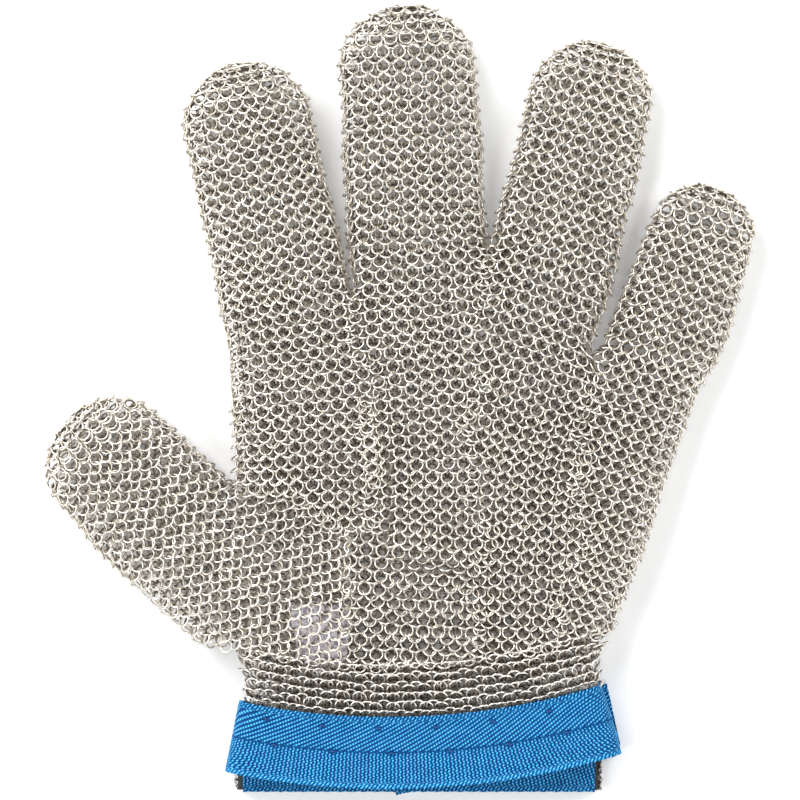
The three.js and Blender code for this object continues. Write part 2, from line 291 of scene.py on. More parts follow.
class Nodes:
    """A material's node tree, built a node at a time."""

    def __init__(self, name):
        self.material = bpy.data.materials.new(name)
        self.material.use_nodes = True
        self.tree = self.material.node_tree
        self.shader = self.tree.nodes["Principled BSDF"]

    def add(self, kind, inputs=None, **settings):
        """A node of a kind; inputs are its sockets' values or links, and settings its own options."""
        node = self.tree.nodes.new(kind)
        for key, value in settings.items():
            setattr(node, key, value)
        for key, value in (inputs or {}).items():
            self.give(node.inputs[key], value)
        return node

    def give(self, socket, value):
        if isinstance(value, bpy.types.NodeSocket):
            self.tree.links.new(value, socket)
        else:
            socket.default_value = value

    def set(self, **inputs):
        for key, value in inputs.items():
            self.give(self.shader.inputs[key.replace("_", " ").title().replace("Ior", "IOR")], value)

    def ramp(self, factor, *stops):
        node = self.add("ShaderNodeValToRGB", {"Fac": factor})
        elements = node.color_ramp.elements
        while len(elements) < len(stops):
            elements.new(0.5)
        for element, (position, colour) in zip(elements, stops):
            element.position = position
            element.color = (*colour, 1)
        return node.outputs["Color"]

    def noise(self, scale, detail):
        place = self.add("ShaderNodeTexCoord").outputs["Object"]
        inputs = {"Vector": place, "Scale": scale, "Detail": detail}
        return self.add("ShaderNodeTexNoise", inputs).outputs["Fac"]

    def attribute(self, name):
        return self.add("ShaderNodeAttribute", attribute_name=name).outputs["Fac"]

    def multiplied(self, first, second):
        node = self.add("ShaderNodeMix", data_type="RGBA", blend_type="MULTIPLY")
        node.inputs["Factor"].default_value = 1.0
        self.give(node.inputs[6], first)
        self.give(node.inputs[7], second)
        return node.outputs[2]

    def math(self, operation, *values, **settings):
        node = self.add("ShaderNodeMath", operation=operation, **settings)
        for socket, value in zip(node.inputs, values):
            self.give(socket, value)
        return node.outputs[0]

    def cycle(self, phase, gain):
        """0 to 1 and back, once in each cycle of a phase."""
        wave = self.math("SINE", self.math("MULTIPLY", phase, 2 * math.pi))
        return self.math("MULTIPLY_ADD", wave, gain, 0.5, use_clamp=True)


def grey(value, warmth=0.0):
    """A grey, or a slightly yellow one where it has some warmth."""
    return (value * (1 + warmth), value, value * (1 - 1.6 * warmth))


@functools.cache
def steel():
    """Bright stainless wire in lighter and darker patches, darker where it lies deep in the mail: partly dull
    worn wire, partly painted shade.
    """
    n = Nodes("steel_mail")
    tones = (0.3, grey(0.48, 0.06)), (0.5, grey(0.64, 0.06)), (0.7, grey(0.75, 0.05))
    wire = n.ramp(n.noise(620.0, 2.0), *tones)
    # Painted shade with some real dullness: the wire darkens towards the inside of the mail.
    wear_and_shade = n.ramp(n.attribute("polish_and_shade"), (0.05, grey(0.24, 0.08)), (0.42, grey(0.82, 0.05)), (0.8, (1, 1, 1)))
    n.set(base_color=n.multiplied(wire, wear_and_shade), metallic=1.0, roughness=0.33)
    return n.material


# ---- Ring mail: where the rings lie ----

BACK_SHEET = 1.0  # height of the back's sheet of rings
FINGER_RISE = 5.4  # from a finger's mid height to its palm-side sheet
PALM_RISE = 7.0
SQUARENESS = 2.5  # the power in a section's oval: 2 would make it an ellipse
TIP_PITCH = 4.3  # between neighbours in a row on a fingertip
ROOT_LENGTH = 140.0  # how far below its knuckle a digit's columns are traced
TIP_DOME = 0.92  # a fingertip's length, as a share of its half width
VALLEY = 0.045  # how fast the valley between two digits flattens out below their crotch

# Lean keys are [distance from the knuckle, degrees]: how each digit's columns run on down into the hand.
DIGITS = {
    "index": dict(reach=62, width=40.5, tip=39.5, columns=19, lean=[[-100, 0], [-60, 4], [-30, 8], [0, 12]]),
    "middle": dict(
        reach=65.9, width=42.6, tip=42, columns=19,
        lean=[[-140, -4], [-95, -4], [-75, 2], [-50, 8], [0, 3.5]],
    ),
    "ring": dict(
        reach=57.5, width=39, tip=37.5, columns=18,
        lean=[[-140, -3], [-90, -4], [-60, -17], [-40, -20], [0, -13.5]],
    ),
    "little": dict(reach=48, width=35.5, tip=32.5, columns=17, lean=[[-110, -14], [-50, -18], [0, -19]]),
    "thumb": dict(reach=48, width=42.5, tip=41, columns=19, lean=[[-80, 55], [-40, 50], [0, 45.5]]),
}
CROTCHES = {"thumb": (-52.5, -24.8), "index": (-15.5, 35), "middle": (27.5, 46.6), "ring": (61.4, 16.8)}

# Edges and seams of the hand, as [y, x].
LEFT_EDGE = [[-101, -47.6], [-91, -47.5], [-74, -50.5], [-22, -51.7], [3, -51.8], [15, -53.1], [43, -58.6]]
RIGHT_EDGE = [
    [-101, 61.5], [-83, 61.1], [-77, 61.7], [-71, 65.1], [-46, 75], [-22, 83], [-3, 89.4], [15, 98], [40, 107]
]
INDEX_SEAM = [[-90, -14], [-45, -12], [-25, -8], [0, -10], [35, -15.5]]
RING_SEAM = [[-90, 24], [-40, 24], [-20, 22], [6, 22], [30, 24.5], [46.6, 27.5]]
LITTLE_SEAM = [[-90, 44], [-60, 50], [-40, 55], [-20, 56], [0, 58], [16.8, 61.4]]
THUMB_SEAM = [[-86, -18.6], [-61.7, -15.5], [-40, -17], [-27.8, -31], [-26.3, -51.8]]
SEAMS = {
    "index": (None, INDEX_SEAM),
    "middle": (INDEX_SEAM, RING_SEAM),
    "ring": (RING_SEAM, LITTLE_SEAM),
    "little": (LITTLE_SEAM, None),
}
THUMB_OVERLAP = 2.5  # how far the palm's mail runs on under the thumb's
THUMB_LIFT = 1.5  # how far the thumb's upper edge lies over the palm
INDEX_END = -41.0  # y where the index's columns end; below it the middle finger's reach the thumb's seam
THUMB_SWELL = 1.0  # how much fuller the thumb is on its outer side

# The wrist: its sheets come together, and its rows follow the strap's curve.
WRIST = [[-101, 6.1, 15.0], [-91, 6.1, 15.0], [-81, 1.0, 15.6], [-74, 0.0, 16.0]]  # y, underside, top
STRAP_CENTRE = (-3.8, 127.8)
CUFF_FROM, CUFF_TO = 210.0, 232.0  # from the strap's centre
CUFF_PACE = 217.0  # the radius at which its rings are a pitch apart
CUFF_PITCH, CUFF_ROW = 5.0, 1.45
CUFF_DRAWN, CUFF_DROP = 221.0, 2.0  # the radius from which its sheets draw in, and how far
SHEET_TOP = 16.0  # height of the palm's sheet before the wrist draws it in
CUFF_TILTS = (math.radians(46), math.radians(36))
CUFF_PAIR = 0.6  # its rows lie in close pairs
CUFF_SWELL = 1.04  # the stretched rings stand clear of each other and look larger


def on_line(points, value):
    """The second value of a line of key points, where its first value is as given."""
    keys = np.array(points, float)
    return np.interp(value, keys[:, 0], keys[:, 1])


def in_thumb_mail(x, y, inset=0.0):
    """Whether a place is in the thumb's mail, and further in than an inset."""
    return (y < THUMB_SEAM[-1][0] - inset) & (x < on_line(THUMB_SEAM, y + inset) - 0.2 * inset)


def on_arc(turn, radius):
    """The x and y of a place on the strap's curve."""
    return STRAP_CENTRE[0] + radius * np.sin(turn), STRAP_CENTRE[1] - radius * np.cos(turn)


def cuff_top(x):
    """The y at which the cuff's first row crosses an x."""
    return STRAP_CENTRE[1] - np.sqrt(CUFF_FROM**2 - (x - STRAP_CENTRE[0]) ** 2)


def wrist_heights(y):
    """The heights of the underside and the top of the mail, which come together at the wrist."""
    places, under, over = np.array(WRIST).T
    return np.interp(y, places, under), np.interp(y, places, over)


def settle(points):
    """The wrist's sheets drawn together, and the soft unevenness of mail that was laid down by hand."""
    x, y, z = points.T
    under, over = wrist_heights(y)
    z = under + (over - under) * z / SHEET_TOP
    wave = (
        0.22 * np.sin(x / 5.1 + 0.6 * np.sin(y / 9.0)) * np.sin(y / 6.3 + 1.1)
        + 0.16 * np.sin(x / 2.9 - y / 4.2 + 2.0)
        + 0.14 * np.sin(x / 7.7 + y / 3.6)
    )
    # Two creases, one up the palm and one across it, and the ripples below them.
    upright = np.exp(-(((x + 3.5) / 1.3) ** 2)) * smooth((y + 50) / 6) * smooth((-11 - y) / 6)
    level = np.exp(-(((y + 49.2 + 0.09 * x) / 1.1) ** 2)) * smooth((x + 3) / 5) * smooth((21 - x) / 5)
    puckers = np.sin((y + 0.006 * (x - 6) ** 2) / 1.15) * smooth((-50 - y) / 6) * smooth((y + 84) / 8)
    puckers = puckers * smooth((x + 24) / 10) * smooth((34 - x) / 10)
    wave = wave - 1.2 * upright - 1.9 * level + 0.45 * puckers
    shift = 0.28 * np.sin(x / 6.1 + y / 8.3) + 0.20 * np.sin(y / 4.7 - x / 11.0)
    return np.stack([x + shift, y + 0.8 * shift * np.sin(x / 9.0), z + wave * smooth((z - 2) / 6 + 0.35)], -1)


class Section:
    """A squarish oval, cut across a digit: its half width differs on its two sides."""

    TURNS = np.linspace(0, math.pi / 2, 160)

    def __init__(self, left, right, rise):
        self.sides = []
        for half in (left, right):
            x = half * np.sin(self.TURNS) ** (2 / SQUARENESS)
            z = rise * np.cos(self.TURNS) ** (2 / SQUARENESS)
            length = np.concatenate([[0], np.cumsum(np.hypot(np.diff(x), np.diff(z)))])
            self.sides.append((x, z, length))

    def reach(self, side):
        return self.sides[side][2][-1]

    def at(self, arc):
        """Sideways place and height at a distance round from the top, which is negative to the left."""
        out = []
        for side, sign in ((0, -1), (1, 1)):
            x, z, length = self.sides[side]
            away = np.abs(arc)
            past = away > length[-1]
            away = np.where(past, 2 * length[-1] - away, away)
            up = np.where(past, -1, 1)
            out.append((sign * np.interp(away, length, x), up * np.interp(away, length, z)))
        return [np.where(arc < 0, left, right) for left, right in zip(*out)]


class Digit:
    """The mail of one digit, from its tip down into the hand."""

    TRACE = 0.5  # step of the traced middle line
    LEAN_EASE = 10.0  # how soon below the knuckle the columns take up their own lean

    def __init__(self, name):
        spec = DIGITS[name]
        joint = JOINTS[digit_joints(name)[0][0]]
        self.name, self.columns = name, spec["columns"]
        self.knuckle = np.array(joint["pos_m"][:2]) / MM
        self.lean = math.atan2(joint["axis"][1], joint["axis"][0])
        self.half, self.tip_half = spec["width"] / 2 - SIDE_INSET, spec["tip"] / 2 - SIDE_INSET
        self.slant = 0.04 if self.columns % 2 else 0.5  # sets the back's rings behind the front's gaps
        self.dome = TIP_DOME * self.tip_half
        self.shoulder = spec["reach"] - SIDE_INSET - self.dome
        self.depth = np.arange(0, ROOT_LENGTH + 10, self.TRACE)
        lean = np.radians(on_line(spec["lean"], -self.depth))
        self.root_lean = lean + (self.lean - lean[0]) * np.exp(-self.depth / self.LEAN_EASE)
        steps = np.stack([np.sin(self.root_lean), -np.cos(self.root_lean)], -1) * self.TRACE
        self.root = self.knuckle + np.concatenate([[[0, 0]], np.cumsum(steps, 0)[:-1]])
        before = {"middle": "index", "ring": "middle", "little": "ring"}.get(name)
        self.free_left = self.project(CROTCHES[before]) if before else None
        self.free_right = self.project(CROTCHES[name]) if name in CROTCHES else None

    def project(self, point):
        offset = np.array(point) - self.knuckle
        return -offset[0] * math.sin(self.lean) + offset[1] * math.cos(self.lean)

    def axis(self, along):
        """The middle line's place and lean at a distance above the knuckle, or below it when negative."""
        if along >= 0:
            way = np.array([-math.sin(self.lean), math.cos(self.lean)])
            return self.knuckle + way * along, self.lean
        centre = [np.interp(-along, self.depth, self.root[:, k]) for k in (0, 1)]
        return np.array(centre), np.interp(-along, self.depth, self.root_lean)

    def edge_distance(self, along, edge, sign):
        """How far off the axis the hand's edge is, to the left (sign -1) or right, square to the axis."""
        centre, lean = self.axis(along)
        distance = self.half
        for _ in range(6):
            y = centre[1] + sign * distance * math.sin(lean)
            distance = abs(on_line(edge, y) - sign * SIDE_INSET - centre[0]) / math.cos(lean)
        return distance

    def widths(self, along):
        """Half widths to the left and right of the axis."""
        half = self.half + (self.tip_half - self.half) * np.clip(along / self.shoulder, 0, 1)
        left = right = half
        if self.name == "thumb":
            left = half + THUMB_SWELL * smooth((self.shoulder - along) / 20)
        if self.name == "index" and along < 0:
            left = half + (self.edge_distance(along, LEFT_EDGE, -1) - half) * smooth(-along / 12)
        if self.name == "little" and along < 0:
            right = half + (self.edge_distance(along, RIGHT_EDGE, 1) - half) * smooth(-along / 12)
        if self.free_left is not None:
            left = half * (1 + VALLEY * np.clip(self.free_left - along, 0, 45))
        if self.free_right is not None:
            right = half * (1 + VALLEY * np.clip(self.free_right - along, 0, 45))
        return left, right

    def rise(self, along):
        return FINGER_RISE + (PALM_RISE - FINGER_RISE) * smooth((-along - 6) / 45)

    def section(self, along):
        """The cut across the digit at a distance along it; on the tip's dome, the one at its shoulder."""
        left, right = self.widths(min(along, self.shoulder))
        return Section(left, right, self.rise(along))

    def points(self, along, arc):
        """Places on the mail's outer sheet, at a distance along the digit and at distances round it."""
        section = self.section(along)
        if along > self.shoulder:
            turn = min((along - self.shoulder) / self.dome_length, 0.999) * math.pi / 2
            scale, reach = math.cos(turn), self.shoulder + self.dome * math.sin(turn)
        else:
            scale, reach = 1.0, along
        centre, lean = self.axis(reach)
        x, z = section.at(arc / scale)
        x, z = x * scale, z * scale
        rise = self.rise(along)
        side, way = (math.cos(lean), math.sin(lean)), (-math.sin(lean), math.cos(lean))
        place = centre + np.outer(x, side) + np.outer(self.slant * ROW * z / rise, way)
        return np.column_stack([place, BACK_SHEET + rise + z])

    @property
    def dome_length(self):
        """The rows' path over the tip, from its shoulder to its end."""
        return 0.5 * math.pi * (0.5 * self.dome + 0.25 * self.tip_half + 0.25 * FINGER_RISE) * 1.05

    def row(self, along, arc, parity):
        """The rings of one row, whose places come from the sheet's own shape."""
        step = 0.4
        here = self.points(along, arc)
        ahead, behind = self.points(along + step, arc), self.points(along - step, arc)
        right, left = self.points(along, arc + step), self.points(along, arc - step)
        if self.name == "thumb":
            lift = THUMB_LIFT * thumb_lift(here)
            for points in (here, ahead, behind, right, left):
                points[:, 2] += lift
        here, ahead, behind, right, left = (settle(p) for p in (here, ahead, behind, right, left))
        across, up, out = directions(right, left, ahead, behind)
        if parity == 0:
            here = here + ROW_SHIFT * up + ROW_LIFT * out
        share = 0.0 if self.name == "thumb" else smooth((self.tube_start() - along) / 14)
        tilt = TILTS[parity] + share * (PALM_TILTS[parity] - TILTS[parity])
        return Rings(here, across, up, out, *(np.full(len(arc), value) for value in (tilt, along)))

    def tube_rows(self):
        """Closed rows of rings round the digit, and over its tip."""
        rows, number = [], 0
        along = self.tube_start()
        while along < self.shoulder + self.dome_length:
            section = self.section(along)
            scale = 1.0
            if along > self.shoulder:
                scale = math.cos((along - self.shoulder) / self.dome_length * math.pi / 2)
            girth = 2 * (section.reach(0) + section.reach(1)) * scale
            columns = self.columns
            if along > self.shoulder:
                columns = min(columns, max(int(round(girth / TIP_PITCH)), 5))
            if scale < 0.16:
                break
            places = (np.arange(columns) - (columns - 1) / 2 + 0.5 * (number % 2)) * girth / columns
            places = (places + girth / 2) % girth - girth / 2
            rows.append(self.row(along, places, number % 2))
            number += 1
            along += ROW
        return Rings.joined(rows)

    def tube_start(self):
        """Where the digit is free on both sides, above its higher crotch."""
        return max(free for free in (self.free_left, self.free_right) if free is not None)

    def pitch(self):
        """The distance between neighbours in the tube's first row, which the root's rows keep."""
        section = self.section(self.tube_start() + ROW)
        return 2 * (section.reach(0) + section.reach(1)) / self.columns

    def root_rows(self, back):
        """Rows below the first crotch: the palm's sheet, or the back's, which is its mirror image."""
        rows, number = [], 1
        along = self.tube_start() - ROW
        pitch = self.pitch()
        shift = 0.5 * (1 - self.columns % 2) + (0.5 if back else 0)
        while along > -ROOT_LENGTH:
            section = self.section(along)
            first = math.ceil(-section.reach(0) / pitch)
            last = math.floor(section.reach(1) / pitch)
            arc = (np.arange(first - 1, last + 2) + shift + 0.5 * (number % 2)) * pitch
            spare = pitch / 2 if back else 0.0
            arc = arc[(arc > -section.reach(0) + spare) & (arc < section.reach(1) - spare)]
            if len(arc):
                rings = self.row(along, arc, (number + back) % 2)
                rows.append(rings.kept(self.owns(rings.centre, arc, along, back)))
            number += 1
            along -= ROW
        rings = Rings.joined(rows)
        return mirrored(rings) if back else rings

    def owns(self, centre, arc, along, back):
        """Which places of a row belong to this digit's part of the hand."""
        x, y = centre[:, 0], centre[:, 1]
        keep = y > cuff_top(x)
        if self.name == "thumb":
            outer_side = (arc < 0) & (x < -45)
            above_wrist = x > -49.5 - 8.1 * np.maximum(0, y + 80)
            return keep & (in_thumb_mail(x, y) | outer_side) & above_wrist
        keep &= ~in_thumb_mail(x, y, THUMB_OVERLAP)
        if self.name == "index":
            keep &= y > INDEX_END
        seams = SEAMS[self.name]
        margin = (-0.12 if back else -0.3) * PITCH
        wander = (4.0 if back else 0.0) + 2.0 * np.sin(y / 3.9) + 1.6 * np.sin(y / 7.1 + 1)
        if seams[0] is not None and along < self.free_left:
            line = on_line(seams[0], y) + wander * smooth((self.free_left - along) / 14)
            if self.name == "middle":
                line = np.where(y < INDEX_END + 1, on_line(THUMB_SEAM, y), line)
            keep &= (x > line + margin) | (arc > 0)
        if seams[1] is not None and along < self.free_right:
            line = on_line(seams[1], y) + wander * smooth((self.free_right - along) / 14)
            keep &= (x < line - margin) | (arc < 0)
        return keep


def thumb_lift(points):
    """1 where the thumb's mail lies over the palm's along its upper edge, falling to 0 away from it."""
    x, y = points[:, 0], points[:, 1]
    near = 1 - smooth(np.abs(y - THUMB_SEAM[-1][0]) / 14)
    return near * smooth((x + 62) / 10) * (1 - smooth((x + 30) / 12))


def mirrored(rings):
    """The same rings on the other sheet of the glove."""
    centre = rings.centre.copy()
    under, over = wrist_heights(centre[:, 1])
    top = under + (over - under) * (BACK_SHEET * 2 + 2 * rise_at(centre)) / SHEET_TOP
    centre[:, 2] = np.maximum(under + top - centre[:, 2], under + 0.75)
    flip = np.array([1, 1, -1])
    return Rings(centre, rings.across * flip, rings.up * flip, rings.out * flip, rings.tilt, rings.along)


def rise_at(points):
    """About how far the hand's sheets are from its mid height, from how far down the hand a place is."""
    return FINGER_RISE + (PALM_RISE - FINGER_RISE) * smooth((38 - points[:, 1]) / 50)


def cuff_rings(back):
    """The stretched rows at the wrist, which curve with the strap."""
    rows = []
    number = 0
    radius = CUFF_FROM
    while radius < CUFF_TO:
        places = np.arange(-60, 70, CUFF_PITCH) + CUFF_PITCH * (0.5 * (number % 2) + (0.3 if back else 0))
        parts = []
        for aside, outward in ((0, 0), (0.4, 0), (-0.4, 0), (0, 0.4), (0, -0.4)):
            x, y = on_arc((places + aside - STRAP_CENTRE[0]) / CUFF_PACE, radius + outward)
            left, right = on_line(LEFT_EDGE, y) + SIDE_INSET, on_line(RIGHT_EDGE, y) - SIDE_INSET
            side = np.clip(np.abs((x - (left + right) / 2) / ((right - left) / 2)), 0, 1)
            z = 8 + 7 * (1 - side**6) ** (1 / SQUARENESS) - CUFF_DROP * smooth((radius - CUFF_DRAWN) / 6)
            parts.append(settle(np.stack([x, y, z], -1)))
        here, right, left, below, above = parts
        lean, mark = (np.full(len(here), value) for value in (CUFF_TILTS[number % 2], CUFF_MARK - 1))
        rings = Rings(here, *directions(right, left, above, below), lean, mark)
        x, y = here[:, 0], here[:, 1]
        inside = (x > on_line(LEFT_EDGE, y) + 0.5) & (x < on_line(RIGHT_EDGE, y) - 0.5)
        rows.append(rings.kept(inside))
        number += 1
        radius = CUFF_FROM + number // 2 * 2 * CUFF_ROW + number % 2 * CUFF_PAIR
    rings = Rings.joined(rows)
    return mirrored(rings) if back else rings


# ---- Ring mail: the pieces ----

ROOT_CUT = -10.5  # along a digit, where its first joint's piece ends and the hand's begins
PIECE_RINGS = 1200  # a piece with more rings is parted


def finish_piece(piece, node, body=None):
    """Hides the CAD node that the piece stands for, and hangs the piece on the body that carries it whole,
    where one is given.
    """
    if body:
        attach(piece, body)
    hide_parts(node)


def hand_mail(name, rings, node):
    parts = math.ceil(len(rings.centre) / PIECE_RINGS)
    order = np.argsort(np.argsort(rings.centre[:, 1]))
    for part in range(parts):
        mask = (order * parts // len(order)) == part
        label = name if parts == 1 else f"{name}_{part + 1}"
        finish_piece(ring_mesh(label, rings.kept(mask)), node, "hand")


def joint_mail(rings, joint_name, node):
    """The mail round one joint."""
    piece = ring_mesh(joint_name.replace("_bend", "_rings"), rings)
    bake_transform(piece)
    finish_piece(piece, node)


def digit_joints(name):
    """A digit's joints and CAD nodes, from its root to its tip."""
    if name == "thumb":
        return ["thumb_base_bend", "thumb_tip_bend"], ["thumb_base_mail", "thumb_tip_mail"]
    joints = [f"{name}_{kind}_bend" for kind in ("knuckle", "middle", "tip")]
    return joints, [f"{name}_{kind}_mail" for kind in ("base", "middle", "tip")]


def make_mail():
    for name in DIGITS:
        digit = Digit(name)
        everything = Rings.joined([digit.tube_rows(), digit.root_rows(False), digit.root_rows(True)])
        joint_names, nodes = digit_joints(name)
        places = [digit.project(np.array(JOINTS[j]["pos_m"][:2]) / MM) for j in joint_names]
        cuts = [ROOT_CUT, *((a + b) / 2 for a, b in zip(places, places[1:])), 999]
        for joint_name, node, low, high in zip(joint_names, nodes, cuts, cuts[1:]):
            mask = (everything.along >= low) & (everything.along < high)
            joint_mail(everything.kept(mask), joint_name, node)
        rest = everything.kept(everything.along < cuts[0])
        front_side = rest.out[:, 2] > 0
        for side, mask in (("palm", front_side), ("back", ~front_side)):
            node = "thumb_web_mail" if name == "thumb" else f"{side}_mail"
            hand_mail(f"{side}_rings_{name}", rest.kept(mask), node)
    hand_mail("cuff_rings_palm", cuff_rings(False), "cuff_palm_mail")
    hand_mail("cuff_rings_back", cuff_rings(True), "cuff_back_mail")


# ---- Webbing, tapes, stitches and tag ----

WEBBING = 1.1
WIDTH = 22.0
STRAP_RADII = (225.0, 247.0)
STRAP_MIDDLE = sum(STRAP_RADII) / 2
STRAP_ENDS = (math.radians(-11.6) * STRAP_MIDDLE, math.radians(16.8) * STRAP_MIDDLE)
STRAP_TOP, STRAP_LOW = 15.85, 5.15  # heights of the front band's middle line, before and after its left fold
STRAP_BEND = (STRAP_TOP - STRAP_LOW) / 2
STRAP_TUCK = 4.0  # how far it runs on under itself past the left fold
STRAP_STEP = 0.3
FRONT_FOOT = 1.25  # height at which its right side ends, just above the flap
BACK_START, BACK_LENGTH, BACK_LOW = (-48.6, -121), 108.6, 3.2  # the back band's corner, length and underside
RELIEF = 0.17  # height of a yarn over the gap beside it
LINE_GAIN, YARN_GAIN, YARN_SHARE = 0.8, 0.8, 0.55
TWILL_ANGLE = math.radians(28)
TWILL_LINE = 1.12  # between the twill's lines, and the length of a yarn along one
TWILL_YARN = 0.92
RIB = 1.12  # between the ribs below the middle line, and the length of a yarn along one
RIB_YARN = 0.86
LOOP_EVERY = 1.15  # between the yarn's turns at the webbing's edge, and the length of one
LOOP_YARN = 0.85
SELVEDGE = 1.7  # the width of the plain weave along each edge
SPINE = 10.9  # from the top edge to the herringbone's middle line
FAN = 7.0  # how far from a fold the twill lines fan out
STITCH_EVERY = 18.0
STITCH_ROWS = (3.6, 11.2)  # from the top edge


def weave(along, across, ends, width=WIDTH):
    """The herringbone's two phases, in cycles: across its lines or ribs, and along them from yarn to yarn."""
    near = np.minimum(along - ends[0], ends[1] - along)
    lean = np.exp(-np.clip(near, 0, None) / FAN) * np.where(along < sum(ends) / 2, 1, -1)
    side = (across - SPINE) / SPINE
    swept = along + 7.0 * lean * side**2
    cos, sin = math.cos(TWILL_ANGLE), math.sin(TWILL_ANGLE)
    twill = (swept * sin + across * cos) / TWILL_LINE
    twill_yarn = (swept * cos - across * sin) / TWILL_YARN + 0.4 * twill
    slope = 0.32 * smooth((along - sum(ends) / 2) / 60)
    rib = (along - slope * (across - SPINE) + 5.5 * lean * side**2) / RIB
    rib_yarn = across / RIB_YARN + 0.5 * rib
    rib = rib + 0.14 * np.sin(math.pi * across / RIB_YARN)
    edge = np.minimum(across, width - across)
    ridge = np.where(across < SPINE, twill, rib)
    yarn = np.where(across < SPINE, twill_yarn, rib_yarn)
    ridge = np.where(edge < SELVEDGE, along / LOOP_EVERY + 0.5 * across, ridge)
    yarn = np.where(edge < SELVEDGE, across / LOOP_YARN + 0.5 * along / LOOP_EVERY, yarn)
    return ridge, yarn


def yarn_height(ridge, yarn):
    """The yarns' height, 0 in a gap to 1 on a crown."""
    lines = np.clip(0.5 + LINE_GAIN * np.sin(2 * math.pi * ridge), 0, 1)
    crowns = np.clip(0.5 + YARN_GAIN * np.sin(2 * math.pi * yarn), 0, 1)
    return lines * (1 - YARN_SHARE + YARN_SHARE * crowns)


def stitch_places(row):
    """Places along the front band of one row's stitches."""
    return np.arange(STRAP_ENDS[0] + 9 + 4 * row, STRAP_ENDS[1] - 6, STITCH_EVERY)


def dips(along, across):
    """How far the stitches draw the webbing in, from 0 to 1."""
    total = np.zeros_like(along)
    for row, place in enumerate(STITCH_ROWS):
        pulled = np.exp(-(((across - place) / 0.65) ** 2))
        for stitch in stitch_places(row):
            total += pulled * np.exp(-(((along - stitch) / 0.9) ** 2))
    return np.clip(total, 0, 1)


def band_mesh(name, outer, inner, values, material):
    """A closed band between two grids of points."""
    rows, columns = outer.shape[:2]
    count = rows * columns
    i, j = grid(np.arange(rows - 1), np.arange(columns - 1))
    corner = i * columns + j
    top = np.stack([corner, corner + columns, corner + columns + 1, corner + 1], -1).reshape(-1, 4)
    rim = np.concatenate([
        np.arange(columns - 1),
        columns * np.arange(1, rows) - 1,
        count - 1 - np.arange(columns - 1),
        columns * np.arange(rows - 1, 0, -1),
    ])
    after = np.roll(rim, -1)
    sides = np.stack([rim, after, after + count, rim + count], -1)
    quads = np.concatenate([top, top[:, ::-1] + count, sides])
    points = np.concatenate([outer.reshape(-1, 3), inner.reshape(-1, 3)])
    piece = new_mesh_object(name, points, quads)
    for key, value in values.items():
        set_point_values(piece, key, np.concatenate([value.ravel(), value.ravel()]))
    piece.data.materials.append(material)
    return piece


def strap_line():
    """The front band's middle line as [along, height] points, folded over at both ends."""
    bend = STRAP_BEND
    left, right = STRAP_ENDS
    turn = np.linspace(0, math.pi, 60)
    fold = np.stack([left + bend - bend * np.sin(turn), STRAP_LOW + bend - bend * np.cos(turn)], -1)
    quarter = np.linspace(0, math.pi / 2, 30)
    drop = np.stack([right - bend + bend * np.sin(quarter), STRAP_TOP - bend + bend * np.cos(quarter)], -1)
    return np.concatenate([[[left + bend + STRAP_TUCK, STRAP_LOW]], fold, drop, [[right, FRONT_FOOT]]])


def walked(line, step):
    """A line's points at even steps, and the direction square to it at each."""
    length = np.concatenate([[0], np.cumsum(np.linalg.norm(np.diff(line, axis=0), axis=1))])
    at = np.linspace(0, length[-1], int(length[-1] / step) + 1)
    points = np.stack([np.interp(at, length, line[:, k]) for k in (0, 1)], -1)
    way = unit(np.gradient(points, axis=0))
    return points, np.stack([-way[:, 1], way[:, 0]], -1)


def on_strap(along, radius, height):
    """Places on the strap's curve, at distances along its middle and from its centre."""
    x, y = on_arc(along / STRAP_MIDDLE, radius)
    return np.stack([x, y, height], -1)


def frayed(across, along, width=WIDTH):
    """A webbing edge is a row of small loops, not a line."""
    loops = 0.1 * np.sin(2 * math.pi * along / LOOP_EVERY) + 0.07 * np.sin(2 * math.pi * along / 3.7 + 1)
    return across + loops * (np.exp(-across / 0.5) * -1 + np.exp(-(width - across) / 0.5))


def front_band():
    line, square = walked(strap_line(), STRAP_STEP)
    across = np.linspace(0, WIDTH, 89)
    along, spread = grid(line[:, 0], across)
    travelled = grid(np.arange(len(line)) * STRAP_STEP, across)[0]
    fold = travelled[np.argmax(line[:, 1] > STRAP_TOP - 0.01), 0]
    place = travelled - fold + STRAP_ENDS[0] + STRAP_BEND
    ridge, yarn = weave(place, spread, STRAP_ENDS)
    height = yarn_height(ridge, yarn)
    pulled = dips(place, spread)
    ripple = 0.18 * np.sin(place / 9.0) * np.sin(spread / 5.0) + 0.12 * np.sin(place / 4.3 + spread / 3.0)
    radius = STRAP_RADII[0] + frayed(spread, place)
    faces = []
    for sign in (1, -1):
        shift = sign * (0.5 * WEBBING - RELIEF * (1 - height) - 0.35 * pulled) + 0.5 * ripple
        shifted_height = line[:, None, 1] + square[:, None, 1] * shift
        faces.append(on_strap(along + square[:, None, 0] * shift, radius, shifted_height))
    # The shade values paint light and shade into the webbing's colour: painted shade in the stitches' dips,
    # darker along the spine, lighter along its lower edge.
    low_edge = np.exp(-(((spread - WIDTH + 0.7) / 0.7) ** 2))
    spine = np.exp(-(((spread - SPINE) / 0.3) ** 2))
    shade = 0.25 * low_edge - 0.45 * spine - 0.8 * pulled
    values = {"ridge": ridge, "yarn": yarn, "shade": shade}
    return band_mesh("webbing_front_band", *faces, values, webbing())


